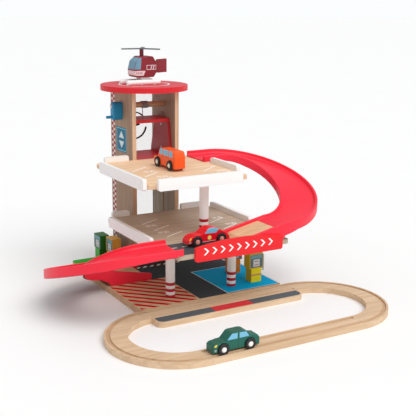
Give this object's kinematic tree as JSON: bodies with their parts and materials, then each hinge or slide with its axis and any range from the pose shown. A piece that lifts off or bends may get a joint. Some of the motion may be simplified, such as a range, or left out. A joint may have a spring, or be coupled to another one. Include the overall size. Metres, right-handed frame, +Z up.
{
  "type": "toy parking garage with lift",
  "caption": "Wooden toy parking garage on several levels with a crank-driven lift, helicopter pad, curved chutes, fuel pumps, an oval road track and small vehicles.",
  "frame": {"origin": "centre of the base board's underside, on the floor", "axes": "+Z up; +X to the right along the base board's front edge; +Y away from the oval track, towards the lift tower"},
  "size_m": [0.5524, 0.5843, 0.4376],
  "materials": {
    "base_paint": "painted, satin",
    "beech": "bare, satin",
    "strip_paint": "painted, satin",
    "plywood": "printed plywood, satin",
    "white_paint": "painted, satin",
    "sign_red": "painted, satin",
    "tower_wood": "bare, satin",
    "clear_panel": "clear, glossy",
    "helipad_red": "painted, satin",
    "screw_caps": "glossy",
    "chute_red": "moulded, satin",
    "yellow_paint": "painted, satin",
    "orange_paint": "painted, satin",
    "green_paint": "painted, satin",
    "amber_paint": "painted, satin",
    "hose_grey": "satin",
    "cab_red": "painted, satin",
    "cord": "matte",
    "steel": "satin",
    "crank_blue": "painted, satin",
    "helicopter_red": "painted, satin",
    "rotor_grey": "matte",
    "green_car_paint": "painted, glossy",
    "red_car_paint": "painted, glossy",
    "orange_car_paint": "painted, glossy",
    "wheels": "matte"
  },
  "bodies": {
    "garage": {"base_board": "base_paint", "near_track_straight": "beech", "far_track_straight": "beech", "left_track_curve": "beech", "right_track_curve": "beech", "parking_strip": "strip_paint", "mid_deck": "plywood", "upper_deck": "plywood", "front_left_pillar": "white_paint", "front_right_pillar": "white_paint", "upper_pillar": "white_paint", "mid_left_rail": "white_paint", "mid_right_rail": "white_paint", "mid_back_rails": "white_paint", "front_sign": "sign_red", "upper_left_rail": "white_paint", "upper_right_rail": "white_paint", "upper_front_rail": "white_paint", "upper_back_rail": "white_paint", "tower_left_panel": "tower_wood", "tower_right_panel": "tower_wood", "tower_back_panel": "clear_panel", "helipad": "helipad_red", "helipad_screws": "screw_caps", "upper_chute": "chute_red", "lower_chute": "chute_red", "upper_ramp": "beech", "lower_ramp": "beech", "yellow_pump": "yellow_paint", "orange_pump": "orange_paint", "green_pump": "green_paint", "amber_pump": "amber_paint", "yellow_pump_hose": "hose_grey"},
    "lift": {"lift_floor": "cab_red", "lift_roof": "cab_red", "lift_left_wall": "cab_red", "lift_right_wall": "cab_red", "lift_guide_pins": "steel", "lift_cord": "cord"},
    "crank": {"lift_axle": "beech", "crank_arm": "crank_blue", "crank_peg": "crank_blue", "crank_screw": "steel", "cord_winding": "cord"},
    "helicopter": {"helicopter_body": "helicopter_red", "helicopter_tail": "helicopter_red", "helicopter_mast": "helicopter_red", "helicopter_stand": "white_paint", "helicopter_floats": "white_paint"},
    "rotor": {"helicopter_rotor": "rotor_grey"},
    "green_car": {"green_car_body": "green_car_paint"},
    "green_front": {"green_car_front_wheels": "wheels"},
    "green_rear": {"green_car_rear_wheels": "wheels"},
    "red_car": {"red_car_body": "red_car_paint"},
    "red_front": {"red_car_front_wheels": "wheels"},
    "red_rear": {"red_car_rear_wheels": "wheels"},
    "orange_car": {"orange_car_body": "orange_car_paint"},
    "orange_front": {"orange_car_front_wheels": "wheels"},
    "orange_rear": {"orange_car_rear_wheels": "wheels"}
  },
  "joints": [
    {"name": "lift_slide", "type": "slide", "parent": "garage", "child": "lift", "axis": [0, 0, 1], "range_m": [-0.2125, 0], "deforming": ["lift_cord"]},
    {"name": "crank_turn", "type": "hinge", "parent": "garage", "child": "crank", "pos_m": [-0.06605, 0.1066, 0.328], "axis": [1, 0, 0], "range_deg": [0, 1935]},
    {"name": "helicopter_takeoff", "type": "slide", "parent": "garage", "child": "helicopter", "axis": [0, 0, 1], "range_m": [0, 0.12]},
    {"name": "rotor_spin", "type": "hinge", "parent": "helicopter", "child": "rotor", "pos_m": [-0.01075, 0.1066, 0.4364], "axis": [0, 0, 1], "continuous": true},
    {"name": "green_car_roll", "type": "slide", "parent": "garage", "child": "green_car", "axis": [-1, 0, 0], "range_m": [-0.21, 0.017]},
    {"name": "green_car_front_wheels_turn", "type": "hinge", "parent": "green_car", "child": "green_front", "pos_m": [-0.1167, -0.3732, 0.0174], "axis": [0, -1, 0], "range_deg": [-1313, 111]},
    {"name": "green_car_rear_wheels_turn", "type": "hinge", "parent": "green_car", "child": "green_rear", "pos_m": [-0.0691, -0.3732, 0.0174], "axis": [0, -1, 0], "range_deg": [-1313, 111]},
    {"name": "red_car_roll", "type": "slide", "parent": "garage", "child": "red_car", "axis": [-1, 0, 0], "range_m": [-0.008, 0.03]},
    {"name": "red_car_front_wheels_turn", "type": "hinge", "parent": "red_car", "child": "red_front", "pos_m": [-0.056, -0.185, 0.1294], "axis": [0, -1, 0], "range_deg": [-55, 192]},
    {"name": "red_car_rear_wheels_turn", "type": "hinge", "parent": "red_car", "child": "red_rear", "pos_m": [-0.0084, -0.185, 0.1294], "axis": [0, -1, 0], "range_deg": [-55, 192]},
    {"name": "orange_car_roll", "type": "slide", "parent": "garage", "child": "orange_car", "axis": [0, 1, 0], "range_m": [-0.07, 0.055]},
    {"name": "orange_car_front_wheels_turn", "type": "hinge", "parent": "orange_car", "child": "orange_front", "pos_m": [-0.0302, -0.0216, 0.2379], "axis": [-1, 0, 0], "range_deg": [-441, 348]},
    {"name": "orange_car_rear_wheels_turn", "type": "hinge", "parent": "orange_car", "child": "orange_rear", "pos_m": [-0.0302, -0.0692, 0.2379], "axis": [-1, 0, 0], "range_deg": [-441, 348]}
  ],
  "couplings": [
    {"joint": "crank_turn", "follows": "lift_slide", "rad_per_m": -158.73},
    {"joint": "green_car_front_wheels_turn", "follows": "green_car_roll", "rad_per_m": 108.7},
    {"joint": "green_car_rear_wheels_turn", "follows": "green_car_roll", "rad_per_m": 108.7},
    {"joint": "red_car_front_wheels_turn", "follows": "red_car_roll", "rad_per_m": 108.7},
    {"joint": "red_car_rear_wheels_turn", "follows": "red_car_roll", "rad_per_m": 108.7},
    {"joint": "orange_car_front_wheels_turn", "follows": "orange_car_roll", "rad_per_m": 108.7},
    {"joint": "orange_car_rear_wheels_turn", "follows": "orange_car_roll", "rad_per_m": 108.7}
  ]
}
